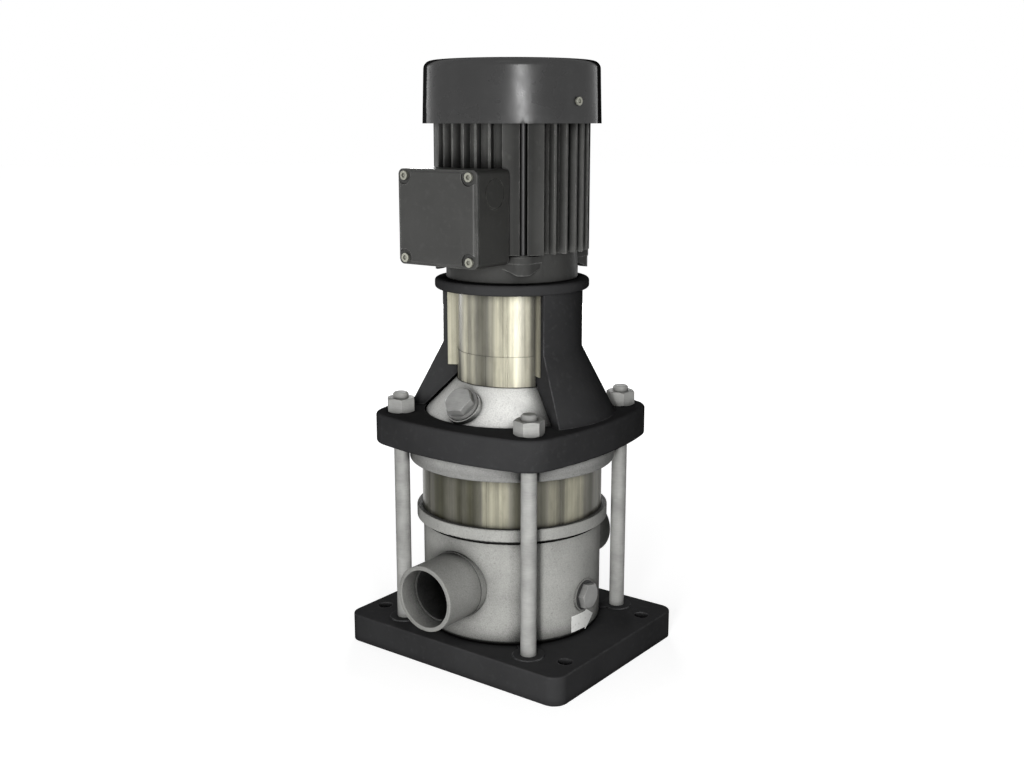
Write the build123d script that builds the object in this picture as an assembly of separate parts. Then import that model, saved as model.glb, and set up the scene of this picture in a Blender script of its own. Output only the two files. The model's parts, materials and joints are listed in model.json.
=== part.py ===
from build123d import *
import math
import os

# Vertical two-stage inline pump with its motor, in millimetres.
# Z runs up the shaft from the underside of the base plate. Suction is on -Y and discharge on +Y.

# Clearances
seat_gap = 0.3
screw_gap = 0.05
running_gap = 0.05
press_gap = 0.02
bore_gap = 0.5

# Base plate
plate_length = 248.0
plate_width = 200.0
plate_height = 26.6
plate_corner = 13.5
plate_edge = 1.5
plate_wall = 10.0
plate_deck = 12.0
plate_rib = 8.0
pocket_columns = 4
pocket_rows = 4
pocket_corner = 5.0
mount_inset_x = 16.5
mount_inset_y = 35.0
mount_hole_radius = 6.75
mount_boss_radius = 12.0
pad_radius = 14.5
pad_height = 1.2
pad_tail_width = 15.0

# Staybolts
stay_offset = 73.7
stay_radius = 7.2
stay_depth = 15.0
stay_projection = 18.2
stay_chamfer = 1.4
stay_boss_radius = 15.0
stay_hole_radius = 8.0
nut_flats = 24.0
nut_height = 13.2

# Base casing
casing_radius = 84.4
casing_wall = 5.4
casing_floor = 6.4
casing_height = 112.2
casing_edge = 5.0
relief_radius = 82.0
relief_height = 4.1
rim_radius = 90.5
rim_height = 11.2
rim_edge = 1.2
sleeve_depth = 8.8
bowl_radius = 49.0
bowl_wall = 5.0
bowl_height = 94.4

# Ports
port_height = 80.0
port_reach = 130.0
port_radius = 30.15
port_bore = 19.0
port_mouth = 25.0
port_mouth_depth = 8.0
port_edge = 0.8
port_root = 2.0
port_collar = 2.0
port_collar_radius = 31.0

# Drain plug and its seal
drain_height = 63.0
drain_boss_radius = 15.5
drain_boss_height = 0.4
drain_flats = 22.0
drain_head = 6.0
drain_turn = 20.0

# Vent plug and its seal
vent_turn = 10.0
vent_radius = 69.6
vent_boss_radius = 16.4
vent_boss_height = 4.0
vent_flats = 24.0
vent_head = 7.8
vent_flange_radius = 15.0
vent_flange = 2.8

# What both plugs share
plug_shank_radius = 10.4
plug_shank = 11.0
plug_bore_depth = 12.5
plug_boss_wall = 3.6
plug_seal = 1.0
plug_seal_width = 3.2

# Outer sleeve
sleeve_radius = 85.0
sleeve_wall = 2.0
seal_section = 2.5
seal_groove_lift = 2.4

# Stages
stage_count = 2
stage_pitch = 30.0
chamber_radius = 72.0
chamber_sheet = 1.5
inlet_plate = 3.0
inlet_spigot = 8.0
eye_radius = 24.2
neck_width = 2.8
neck_height = 3.0
impeller_radius = 50.0
impeller_lift = 4.0
impeller_sheet = 1.2
impeller_channel = 7.3
impeller_vanes = 6
vane_sheet = 1.4
vane_curve = 36.0
vane_centre = 25.0
hub_radius = 11.0
hub_height = 13.0
guide_radius = 64.0
guide_lift = 18.5
guide_vanes = 8
guide_curve = 44.0
guide_centre = 34.0
guide_eye = 30.0
bearing_bush = 2.9
bearing_height = 7.5
bush_wall = 3.0

# Pump head
head_flange_radius = 96.5
head_flange_height = 17.0
head_flange_edge = 2.0
head_clearance = 0.5
head_neck_radius = 81.5
head_height = 75.0
head_top_radius = 51.5
head_dome_round = 9.0
head_wall = 6.2
head_sleeve_depth = 7.5
head_ledge_height = 4.0
head_ledge_width = 3.5
head_throat = 24.0
clamp_ring_width = 9.5
clamp_sheet = 3.0
clamp_arm_width = 12.0
clamp_arms = 4

# Motor stool
stool_crown = 106.5
stool_bulge = 330.0
stool_corner = 28.0
stool_thickness = 28.7
stool_edge = 3.0
stool_opening = 82.0
leg_foot_radius = 97.5
leg_foot_inner = 84.0
leg_radius = 65.4
leg_wall = 8.0
leg_taper = 61.3
leg_straight = 53.0
leg_half_angle = 28.0
leg_web_angle = 7.0
rim_flange_radius = 71.0
rim_flange_height = 9.5
rim_flange_edge = 3.0
rim_bore = 38.0

# Coupling guards
guard_radius = 50.0
guard_sheet = 1.2
guard_flange_reach = 60.6
guard_drop = 84.2
guard_flange_drop = 74.2
guard_seam_drop = 58.2
guard_step = 0.6

# Shaft and coupling
shaft_radius = 8.0
shaft_foot_drop = 12.0
shaft_nut_flats = 20.0
shaft_nut_height = 8.0
washer_height = 1.5
washer_radius = 13.0
collar_radius = 12.0
collar_height = 4.0
collar_drop = 52.5
coupling_radius = 32.0
coupling_length = 63.0
coupling_drop = 16.0
coupling_split = 1.0
coupling_waist = 26.0
coupling_screw_radius = 3.0
coupling_screw_offset = 20.0
coupling_screw_inset = 12.0
coupling_screw_length = 24.0
coupling_screw_socket = 5.0
coupling_seat = 12.0
coupling_chamfer = 6.0
coupling_groove = 12.0
coupling_head_radius = 5.0
coupling_head_height = 6.0
coupling_pin_radius = 2.5
coupling_pin_lift = 14.0
shaft_engagement = 29.0
shaft_end_gap = 4.0

# Shaft seal
cover_radius = 36.0
cover_plate = 5.0
cover_spigot = 12.0
cover_lip_radius = 12.0
seat_radius = 16.9
seat_bore = 9.2
seat_height = 8.0
seat_stand = 2.0
face_radius = 15.0
face_height = 7.9
bellows_folds = 3
bellows_length = 15.0
bellows_radius = 13.5
bellows_sheet = 1.2
driver_radius = 14.0
driver_height = 8.0
cover_screw_circle = 30.0
cover_screw_radius = 2.5
cover_screw_length = 7.0
cover_screw_head = 4.2
cover_screw_head_height = 4.0
cover_screws = 4

# Motor shell
motor_length = 191.5
shield_inset = 1.6
shield_height = 26.0
shield_plate = 7.4
shield_plate_inset = 8.3
shield_plate_corner = 12.0
shield_foot = 10.2
shield_foot_step = 0.7
shield_arch = 122.0
shield_arch_drop = 1.6
spigot_radius = 40.0
spigot_height = 4.0
flange_bolt_circle = 50.0
flange_bolt_radius = 3.0
flange_bolt_grip = 10.0
flange_bolt_head = 5.0
flange_bolt_head_height = 6.0
frame_length = 115.0
frame_radius = 62.0
frame_wall = 6.0
fin_reach = 8.4
fin_sheet = 3.0
fin_pitch = 10.5
fin_pairs = 2
bar_inner_angle = 2.8
bar_outer_angle = 15.0
tie_radius = 2.5
tie_reach = 4.0
tie_head = 4.4
tie_head_height = 4.0
tie_thread = 8.0
tie_ear_radius = 5.6
end_plate = 4.0
end_spigot = 6.0

# Motor inside
stator_length = 70.0
stator_lift = 20.0
rotor_radius = 34.0
air_gap = 0.5
slot_count = 18
slot_width = 5.0
stator_back = 4.5
slot_mouth = 4.0
winding_height = 13.0
winding_gap = 0.4
rotor_end_ring = 6.0
motor_shaft_radius = 9.5
drive_seat_radius = 10.0
rotor_seat_radius = 13.0
rear_seat_radius = 7.5
fan_seat_radius = 7.0
drive_bearing_radius = 23.5
drive_bearing_width = 14.0
drive_bearing_lift = 4.0
rear_bearing_radius = 17.5
rear_bearing_width = 11.0
race_wall = 0.28
ball_count = 7
shield_housing_wall = 4.5
wave_washer_height = 0.9

# Fan and cover
cover_reach = 9.8
cover_draft = 1.4
cover_height = 54.0
cover_sheet = 2.0
cover_round = 7.0
grille_rings = 4
grille_webs = 6
grille_inner = 17.0
grille_slot = 5.5
grille_pitch = 11.0
grille_web_width = 7.0
fan_margin = 14.8
fan_blades = 8
fan_disc = 2.0
fan_blade_sheet = 2.2
fan_height = 22.0
fan_lift = 5.0
fan_hub_radius = 13.0
clip_height = 1.0
clip_radius = 9.5
shaft_tail = 4.0
cover_screw_height = 18.5
cover_fixing_radius = 2.0
cover_fixing_head = 3.6
cover_fixing_head_height = 1.8
cover_fixing_socket = 3.4
cover_fixings = 2
cover_fixing_angle = -8.4
lug_width = 12.0
lug_wall = 4.0
lug_rise = 17.0

# Terminal box
box_half_width = 43.0
box_height = 81.5
box_foot_lift = 18.5
box_corner = 5.0
box_wall = 3.0
shelf_reach = 11.0
box_depth = 40.0
gasket_sheet = 1.0
lid_sheet = 2.0
lid_panel = 2.0
lid_inset = 4.0
lid_notch = 7.6
lid_screw_inset_x = 7.7
lid_screw_inset_z = 5.7
lid_screw_radius = 2.0
lid_screw_head = 3.9
lid_screw_head_height = 2.4
lid_screw_length = 15.0
lid_screw_socket = 3.8
post_radius = 4.6
neck_half_width = 34.0
neck_height_z = 60.0
cable_hole_radius = 12.0
knockout_radius = 13.0
knockout_width = 1.0
knockout_depth = 0.5
knockout_reach = 19.0
knockout_drop = 20.0
terminal_width = 56.0
terminal_height = 32.0
terminal_depth = 9.0
terminal_stud_radius = 2.2
terminal_stud_length = 9.0
terminal_columns = 3
terminal_rows = 2
terminal_pitch = 17.0

# Plan sizes worked out from the values above
mount_spacing_x = plate_length - 2 * mount_inset_x
mount_spacing_y = plate_width - 2 * mount_inset_y
frame_bore = frame_radius - frame_wall
fin_radius = frame_radius + fin_reach
tie_circle = frame_radius + tie_reach
shield_radius = frame_radius - shield_inset
shield_plate_half = frame_radius - shield_plate_inset
cover_foot_radius = fin_radius + cover_reach
cover_top_radius = cover_foot_radius - cover_draft
fan_radius = cover_top_radius - cover_sheet - fan_margin
slot_foot = rotor_radius + air_gap + slot_mouth
slot_depth = frame_bore - stator_back - slot_foot
box_back = frame_radius
box_shelf = box_back + shelf_reach
box_front = box_back + box_depth
knockout_place = box_back + knockout_reach

# Heights worked out from the values above
casing_foot = plate_height
rim_top = casing_foot + casing_height
rim_foot = rim_top - rim_height
relief_foot = rim_foot - relief_height
casing_ledge = rim_top - sleeve_depth
inner_floor = casing_foot + casing_floor
bowl_top = casing_foot + bowl_height
first_stage = bowl_top + inlet_plate
stack_top = first_stage + stage_count * stage_pitch
head_foot = stack_top + head_clearance
head_shoulder = head_foot + head_flange_height
head_top = head_foot + head_height
head_sleeve_ledge = head_foot + head_sleeve_depth
head_ledge = head_sleeve_ledge + head_ledge_height
stool_foot = head_shoulder
stool_top = stool_foot + stool_thickness
leg_knee = stool_top + leg_taper
leg_top = leg_knee + leg_straight
motor_face = leg_top + rim_flange_height
frame_foot = motor_face + shield_height
frame_top = frame_foot + frame_length
motor_top = motor_face + motor_length
cover_foot = motor_top - cover_height
end_top = frame_top + end_plate
guard_top = leg_top - seat_gap
coupling_top = motor_face - coupling_drop
coupling_foot = coupling_top - coupling_length
shaft_top = coupling_foot + shaft_engagement
motor_shaft_foot = shaft_top + shaft_end_gap
collar_top = head_top - collar_drop
drive_bearing_foot = motor_face + drive_bearing_lift
rear_bearing_foot = end_top - 2.0 - 1.0 - rear_bearing_width
stator_foot = frame_foot + stator_lift
stator_top = stator_foot + stator_length
fan_foot = end_top + fan_lift
box_foot = motor_face + box_foot_lift
box_top = box_foot + box_height
box_middle = (box_foot + box_top) / 2

# Radii worked out from the values above
casing_inner = casing_radius - casing_wall
sleeve_inner = sleeve_radius - sleeve_wall
sleeve_socket = sleeve_radius + 0.1
neck_radius = eye_radius + running_gap + neck_width
bush_radius = hub_radius + running_gap + bearing_bush
head_cone = head_neck_radius - head_top_radius
cone_shoulder = head_top - head_cone
vent_foot = cone_shoulder + head_neck_radius - vent_radius
plug_bore = plug_shank_radius + screw_gap
seal_bore = plug_shank_radius + 0.2
stay_places = [(x * stay_offset, y * stay_offset) for x in (-1, 1) for y in (-1, 1)]


def rod(radius, low, high):
    """Upright cylinder on the pump axis between two heights."""
    return Pos(0, 0, low) * Cylinder(radius, high - low, align=(Align.CENTER, Align.CENTER, Align.MIN))


def turned(points, rounds=(), start=0.0, sweep=360.0):
    """Solid turned about the pump axis from (radius, height) points, some corners rounded."""
    outline = make_face(Polyline(*[(r, 0, z) for r, z in points], close=True)).face()
    for index, radius in rounds:
        corner = Vector(points[index][0], 0, points[index][1])
        vertex = outline.vertices().sort_by_distance(corner)[0]
        outline = outline.fillet_2d(radius, [vertex])
    return Rot(0, 0, start) * revolve(outline, Axis.Z, sweep)


def ring(outer, inner, low, high):
    """Plain ring on the pump axis."""
    return turned([(inner, low), (outer, low), (outer, high), (inner, high)])


def hexagon(flats, low, high, turn=0.0):
    """Upright hexagonal bar of a given size across its flats."""
    outline = RegularPolygon(flats / 2, 6, major_radius=False, rotation=turn)
    return Pos(0, 0, low) * extrude(outline, high - low)


def nut(flats, hole, height):
    """Hexagon nut standing on z = 0, with both faces turned down at the corners."""
    corner = flats / 2 / math.cos(math.radians(30))
    drop = (corner - flats / 2) * 0.6
    blank = turned([(0, 0), (flats / 2, 0), (corner + 0.1, drop), (corner + 0.1, height - drop),
                    (flats / 2, height), (0, height)])
    return (hexagon(flats, 0, height) & blank) - rod(hole, -1, height + 1)


def screw(shank, length, head, head_height, recess=0.0):
    """Screw whose head stands on z = 0 and whose shank goes down, with a hexagon socket if asked."""
    body = rod(shank, -length, 0.5) + rod(head, 0, head_height)
    if recess:
        body -= hexagon(recess, head_height * 0.5, head_height + 1)
    return body


def group(solids):
    """Separate solids kept together in one piece of the assembly."""
    return Compound(children=[solid for item in solids for solid in item.solids()])


def around(count, shape, first=0.0):
    """Copies of a shape spaced evenly about the pump axis."""
    return [Rot(0, 0, first + 360 * index / count) * shape for index in range(count)]


def stage_base(index):
    """Height at which a stage starts."""
    return first_stage + index * stage_pitch


# Base plate and staybolts
def plate_pockets():
    """Hollows between the ribs on the underside of the base plate."""
    length = plate_length - 2 * plate_wall
    width = plate_width - 2 * plate_wall
    column = (length - (pocket_columns - 1) * plate_rib) / pocket_columns
    row = (width - (pocket_rows - 1) * plate_rib) / pocket_rows
    cells = GridLocations(column + plate_rib, row + plate_rib, pocket_columns, pocket_rows)
    sketch = cells * RectangleRounded(column, row, pocket_corner)
    hollows = Pos(0, 0, -1) * extrude(Sketch() + sketch, plate_height - plate_deck + 1)
    hollows -= [Pos(x, y, 0) * rod(stay_boss_radius, -2, plate_height) for x, y in stay_places]
    mounts = GridLocations(mount_spacing_x, mount_spacing_y, 2, 2)
    hollows -= [place * rod(mount_boss_radius, -2, plate_height) for place in mounts]
    return hollows


def base_plate():
    slab = extrude(RectangleRounded(plate_length, plate_width, plate_corner), plate_height)
    slab = fillet(slab.faces().sort_by(Axis.Z)[-1].edges(), plate_edge)
    pad = rod(pad_radius, plate_height - 1, plate_height + pad_height)
    tail_length = math.hypot(stay_offset, stay_offset) - casing_radius - seat_gap
    tail = Pos(-tail_length / 2, 0, plate_height + pad_height / 2 - 0.5)
    tail *= Box(tail_length, pad_tail_width, pad_height + 1)
    for x, y in stay_places:
        turn = math.degrees(math.atan2(y, x))
        slab += Pos(x, y, 0) * Rot(0, 0, turn) * (pad + tail)
    slab -= plate_pockets()
    hole = rod(mount_hole_radius, -1, plate_height + 1)
    slab -= [place * hole for place in GridLocations(mount_spacing_x, mount_spacing_y, 2, 2)]
    socket = rod(stay_radius + screw_gap, plate_height - stay_depth - 1, plate_height + pad_height + 1)
    slab -= [Pos(x, y, 0) * socket for x, y in stay_places]
    slab -= rod(casing_radius, plate_height, plate_height + pad_height + 2)
    return slab


def staybolts():
    foot = plate_height - stay_depth
    top = stool_top + stay_projection
    bolt = turned([(0, foot), (stay_radius - stay_chamfer, foot), (stay_radius, foot + stay_chamfer),
                   (stay_radius, top - stay_chamfer), (stay_radius - stay_chamfer, top), (0, top)])
    return group([Pos(x, y, 0) * bolt for x, y in stay_places])


def staybolt_nuts():
    blank = nut(nut_flats, stay_radius + screw_gap, nut_height)
    turned_nuts = []
    for x, y in stay_places:
        turn = math.degrees(math.atan2(y, x)) + 30
        turned_nuts.append(Pos(x, y, stool_top) * Rot(0, 0, turn) * blank)
    return group(turned_nuts)


# Plugs
drain_place = Pos(casing_radius + drain_boss_height, 0, drain_height) * Rot(0, 90, 0)
vent_place = Pos(0, -vent_radius, vent_foot) * Rot(45, 0, 0)
vent_seat = vent_place * Pos(0, 0, vent_boss_height)


def plug_hole():
    """Screwed hole below a plug's seat, with room above for the head."""
    return rod(plug_bore, -plug_bore_depth, 2)


def plug_seal_ring():
    return ring(plug_shank_radius + plug_seal_width, seal_bore, 0, plug_seal)


def plug(flats, head, turn, flange_radius=0.0, flange=0.0):
    """Hexagon plug above its seal, with a hollow shank below."""
    bottom = plug_seal
    body = rod(plug_shank_radius, bottom - plug_shank, bottom + 0.5)
    body -= rod(plug_shank_radius - plug_boss_wall, bottom - plug_shank - 1, bottom - 2)
    if flange:
        body += rod(flange_radius, bottom, bottom + flange)
    corner = flats / 2 / math.cos(math.radians(30))
    foot = bottom + flange
    crown = turned([(0, foot), (corner + 0.1, foot), (corner + 0.1, foot + head - 1.2),
                    (flats / 2 - 0.2, foot + head), (0, foot + head)])
    return body + (hexagon(flats, foot, foot + head, turn) & crown)


def drain_plug():
    return drain_place * plug(drain_flats, drain_head, drain_turn)


def vent_plug():
    return vent_seat * plug(vent_flats, vent_head, vent_turn, vent_flange_radius, vent_flange)


# Base casing
def casing_shell():
    """Cup with its rim and the inner bowl that leads the water to the first stage."""
    shell = turned([(0, casing_foot), (casing_radius, casing_foot), (casing_radius, relief_foot),
                    (relief_radius, relief_foot), (relief_radius, rim_foot), (rim_radius, rim_foot),
                    (rim_radius, rim_top), (sleeve_socket, rim_top), (sleeve_socket, casing_ledge),
                    (casing_inner, casing_ledge), (casing_inner, inner_floor), (0, inner_floor)],
                   rounds=((1, casing_edge), (5, rim_edge), (6, rim_edge), (10, casing_edge)))
    return shell + ring(bowl_radius, bowl_radius - bowl_wall, inner_floor - 1, bowl_top)


def port_turn(side):
    """Turns an upright port about the pump axis to the -Y or +Y side, at port height."""
    return Pos(0, 0, port_height) * Rot(-90 * side, 0, 0)


def port_solid(side):
    """Stub with its root collar; the suction side's leads on to the bowl."""
    root = casing_inner - port_root
    collar_end = casing_radius + port_collar
    stub = turned([(0, root), (port_collar_radius, root), (port_collar_radius, collar_end),
                   (port_radius, collar_end), (port_radius, port_reach - port_edge),
                   (port_radius - port_edge, port_reach), (0, port_reach)])
    if side < 0:
        stub += rod(port_bore + casing_wall, bowl_radius - bowl_wall / 2, root + 1)
    return port_turn(side) * stub


def port_cut(side):
    """Bore of a stub, wider at its mouth."""
    inner = bowl_radius / 2 if side < 0 else (bowl_radius + casing_inner) / 2
    bore = turned([(0, inner), (port_bore, inner), (port_bore, port_reach - port_mouth_depth),
                   (port_mouth, port_reach), (port_mouth, port_reach + 1), (0, port_reach + 1)])
    return port_turn(side) * bore


def seal_groove(radius, middle):
    """Groove outside the sleeve for its rubber ring."""
    return ring(radius + seal_section + 0.1, radius - 1, middle - seal_section / 2 - 0.2,
                middle + seal_section / 2 + 0.2)


def base_casing():
    shell = casing_shell()
    shell += [port_solid(-1), port_solid(1)]
    shell -= rod(bowl_radius - bowl_wall, inner_floor, bowl_top + 1)
    boss = rod(drain_boss_radius, -casing_wall, 0)
    inner_boss = rod(plug_shank_radius + plug_boss_wall, -plug_bore_depth, -casing_wall + 1)
    shell += drain_place * (boss + inner_boss)
    shell -= drain_place * plug_hole()
    shell -= [port_cut(-1), port_cut(1)]
    shell -= seal_groove(sleeve_socket, casing_ledge + seal_groove_lift + seal_section / 2)
    return shell


# Sleeve
def outer_sleeve():
    return ring(sleeve_radius, sleeve_inner, casing_ledge, head_sleeve_ledge - seat_gap)


def sleeve_seal(middle):
    return Pos(0, 0, middle) * Torus(sleeve_socket + seal_section / 2 + 0.05, seal_section / 2)


def sleeve_seals():
    lower = sleeve_seal(casing_ledge + seal_groove_lift + seal_section / 2)
    upper = sleeve_seal(head_sleeve_ledge - seal_groove_lift - seal_section / 2)
    return group([lower, upper])


# Stages
def curved_vane(curve, centre, inner, outer, sheet, low, high):
    """One vane bent along an arc between two radii."""
    strip = Circle(curve + sheet / 2) - Circle(curve - sheet / 2)
    strip = Pos(0, centre) * strip
    span = Circle(outer) - Circle(inner)
    half = Pos(outer, 0) * Rectangle(2 * outer, 4 * outer)
    return Pos(0, 0, low) * extrude(strip & span & half, high - low)


def inlet_part():
    plate = ring(chamber_radius, neck_radius + screw_gap, bowl_top, first_stage)
    spigot_outer = bowl_radius - bowl_wall - 0.2
    return plate + ring(spigot_outer, spigot_outer - 2, bowl_top - inlet_spigot, bowl_top + 0.5)


def neck_rings():
    rings = []
    for index in range(stage_count):
        top = stage_base(index)
        rings.append(ring(neck_radius, eye_radius + running_gap, top - neck_height, top))
    return group(rings)


def chamber(index):
    """Stage can: its wall, the roof with the next eye, and the guide vanes below the roof."""
    low = stage_base(index)
    high = low + stage_pitch
    roof = high - chamber_sheet
    plate = low + guide_lift
    body = ring(chamber_radius, chamber_radius - chamber_sheet, low, high)
    body += ring(chamber_radius, neck_radius + screw_gap, roof, high)
    body += ring(guide_radius, bush_radius + screw_gap, plate, plate + chamber_sheet)
    body += ring(bush_radius + screw_gap + bush_wall, bush_radius + screw_gap, plate,
                 plate + bearing_height)
    vane = curved_vane(guide_curve, guide_centre, guide_eye, guide_radius, chamber_sheet,
                       plate + chamber_sheet / 2, roof + chamber_sheet / 2)
    return body + around(guide_vanes, vane)


def chamber_bushes():
    bushes = []
    for index in range(stage_count):
        low = stage_base(index) + guide_lift
        bushes.append(ring(bush_radius, hub_radius + running_gap, low, low + bearing_height))
    return group(bushes)


def impeller(index):
    """Closed impeller: two shrouds with curved vanes between them, an eye skirt and a hub."""
    low = stage_base(index) + impeller_lift
    channel = low + impeller_sheet
    back = channel + impeller_channel
    bore = shaft_radius + press_gap
    eye_inner = eye_radius - impeller_sheet
    body = ring(impeller_radius, eye_inner, low, channel)
    body += ring(eye_radius, eye_inner, stage_base(index) - neck_height + bore_gap, channel)
    body += ring(impeller_radius, bore, back, back + impeller_sheet)
    body += ring(hub_radius, bore, low, low + hub_height)
    vane = curved_vane(vane_curve, vane_centre, eye_inner, impeller_radius, vane_sheet,
                       channel - impeller_sheet / 2, back + impeller_sheet / 2)
    return body + around(impeller_vanes, vane)


def impeller_spacers():
    bore = shaft_radius + press_gap
    spacers = []
    for index in range(stage_count):
        low = stage_base(index) + impeller_lift + hub_height
        last = index == stage_count - 1
        high = collar_top - collar_height if last else stage_base(index + 1) + impeller_lift
        spacers.append(ring(hub_radius, bore, low, high))
    return group(spacers)


def stage_clamp():
    """Ring with arms that holds the chamber stack down from the head."""
    outer = chamber_radius - 0.5
    body = ring(outer, outer - clamp_ring_width, stack_top, stack_top + clamp_sheet)
    inner = outer - clamp_ring_width / 2
    reach = casing_inner - 0.5
    arm = Box(reach - inner, clamp_arm_width, head_ledge - stack_top,
              align=(Align.MIN, Align.CENTER, Align.MIN))
    return body + around(clamp_arms, Pos(inner, 0, stack_top) * arm, 45)


# Pump head
def head_shell():
    """Flange, neck and cone of the head, hollow below."""
    neck_inner = head_neck_radius - head_wall
    cavity_top = head_top - head_wall - 1.3
    slope = head_wall * math.sqrt(2)
    dome_radius = head_top_radius + head_top - cavity_top - slope
    knee = cavity_top - (neck_inner - dome_radius)
    ledge_inner = casing_inner - head_ledge_width
    points = [(head_throat, head_top), (head_top_radius, head_top), (head_neck_radius, cone_shoulder),
              (head_neck_radius, head_shoulder), (head_flange_radius, head_shoulder),
              (head_flange_radius, head_foot), (sleeve_socket, head_foot),
              (sleeve_socket, head_sleeve_ledge), (casing_inner, head_sleeve_ledge),
              (casing_inner, head_ledge), (ledge_inner, head_ledge), (ledge_inner, knee),
              (dome_radius, cavity_top), (head_throat, cavity_top)]
    rounds = ((1, 2.5), (2, head_dome_round), (4, head_flange_edge), (5, head_flange_edge))
    return turned(points, rounds)


def pump_head():
    shell = head_shell()
    boss = rod(vent_boss_radius, -6, vent_boss_height)
    inner_boss = rod(plug_shank_radius + plug_boss_wall, vent_boss_height - plug_bore_depth, 0)
    shell += vent_place * (boss + inner_boss)
    shell -= vent_seat * plug_hole()
    shell -= seal_groove(sleeve_socket, head_sleeve_ledge - seal_groove_lift - seal_section / 2)
    hole = rod(cover_screw_radius + screw_gap, head_top - cover_screw_length - 0.3, head_top + 1)
    shell -= around(cover_screws, Pos(cover_screw_circle, 0, 0) * hole, 45)
    return shell


# Motor stool
def stool_outline():
    """Square with bulging sides and round corners."""
    bulge = Circle(stool_bulge)
    offset = stool_bulge - stool_crown
    outline = Pos(offset, 0) * bulge & Pos(-offset, 0) * bulge
    outline = outline & Pos(0, offset) * bulge & Pos(0, -offset) * bulge
    return fillet(outline.vertices(), stool_corner)


def stool_leg():
    """One of the two wide legs, about the +X direction: a bent wall with a flat web at each side."""
    inner = leg_radius - leg_wall
    wall = turned([(leg_foot_inner, stool_top - 1), (leg_foot_radius, stool_top - 1),
                   (leg_foot_radius, stool_top), (leg_radius, leg_knee), (leg_radius, leg_top + 1),
                   (inner, leg_top + 1), (inner, leg_knee), (leg_foot_inner, stool_top)],
                  ((3, 4.0),), -leg_half_angle, 2 * leg_half_angle)
    bore = guard_radius - guard_sheet
    web = [(leg_foot_inner, stool_top - 1), (leg_foot_inner + 1, stool_top - 1), (inner + 1, leg_knee),
           (inner + 1, leg_top + 1), (bore, leg_top + 1), (bore, stool_top + leg_foot_inner - bore),
           (leg_foot_inner, stool_top)]
    for start in (-leg_half_angle, leg_half_angle - leg_web_angle):
        wall += turned(web, (), start, leg_web_angle)
    return wall


def motor_stool():
    plate = extrude(stool_outline(), stool_thickness)
    plate = fillet(plate.edges().group_by(Axis.Z)[0] + plate.edges().group_by(Axis.Z)[-1], stool_edge)
    body = Pos(0, 0, stool_foot) * plate
    body -= rod(stool_opening, stool_foot - 1, stool_top + 1)
    hole = rod(stay_hole_radius, stool_foot - 1, stool_top + 1)
    body -= [Pos(x, y, 0) * hole for x, y in stay_places]
    body += [stool_leg(), Rot(0, 0, 180) * stool_leg()]
    flange = turned([(rim_bore, leg_top), (rim_flange_radius, leg_top), (rim_flange_radius, motor_face),
                     (spigot_radius + screw_gap, motor_face),
                     (spigot_radius + screw_gap, motor_face - spigot_height - 0.3),
                     (rim_bore, motor_face - spigot_height - 0.3)],
                    ((1, rim_flange_edge), (2, rim_flange_edge)))
    body += flange
    bolt_hole = rod(flange_bolt_radius + 0.3, leg_top - 1, motor_face + 1)
    bolt_hole += rod(flange_bolt_head + 0.3, leg_top - 1, leg_top + flange_bolt_head_height + 0.2)
    body -= around(4, Pos(flange_bolt_circle, 0, 0) * bolt_hole, 45)
    return body


# Coupling guards
def guard():
    """Front guard: a bent sheet with a joggle and two flanges that lie on the legs."""
    foot = guard_top - guard_drop
    seam = guard_top - guard_seam_drop
    inner = guard_radius - guard_sheet
    low_outer = guard_radius + guard_step
    low_inner = inner + guard_step
    margin = math.degrees(seat_gap / guard_radius)
    start = leg_half_angle + margin
    sheet = turned([(low_inner, foot), (low_outer, foot), (low_outer, seam + guard_sheet),
                    (guard_radius, seam + guard_sheet), (guard_radius, guard_top),
                    (inner, guard_top), (inner, seam), (low_inner, seam)],
                   (), start - 180, 180 - 2 * start)
    flange = Box(guard_flange_reach - inner, guard_sheet, guard_flange_drop,
                 align=(Align.MIN, Align.MAX, Align.MAX))
    right = Rot(0, 0, -leg_half_angle) * Pos(inner + 0.2, -seat_gap, guard_top) * flange
    return sheet + right + mirror(right, Plane.YZ)


def guard_front():
    return guard()


def guard_rear():
    return Rot(0, 0, 180) * guard()


# Pump shaft and coupling
def pump_shaft():
    foot = bowl_top + inlet_plate + impeller_lift - shaft_foot_drop
    collar_foot = collar_top - collar_height
    points = [(0, foot), (shaft_radius - 1, foot), (shaft_radius, foot + 1), (shaft_radius, collar_foot),
              (collar_radius, collar_foot), (collar_radius, collar_top), (shaft_radius, collar_top),
              (shaft_radius, shaft_top - 1), (shaft_radius - 1, shaft_top), (0, shaft_top)]
    pin_hole = Cylinder(coupling_pin_radius + press_gap, 4 * shaft_radius, rotation=(0, 90, 0))
    return turned(points) - Pos(0, 0, coupling_foot + coupling_pin_lift) * pin_hole


def shaft_nut():
    seat = first_stage + impeller_lift - washer_height
    return Pos(0, 0, seat - shaft_nut_height) * nut(shaft_nut_flats, shaft_radius + press_gap,
                                                    shaft_nut_height)


def shaft_washer():
    seat = first_stage + impeller_lift
    return ring(washer_radius, shaft_radius + press_gap, seat - washer_height, seat)


def coupling_screw_places():
    """Centres of the coupling screws, which run along X."""
    low = coupling_foot + coupling_screw_inset
    high = coupling_top - coupling_screw_inset
    return [(y * coupling_screw_offset, z) for y in (-1, 1) for z in (low, high)]


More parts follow.
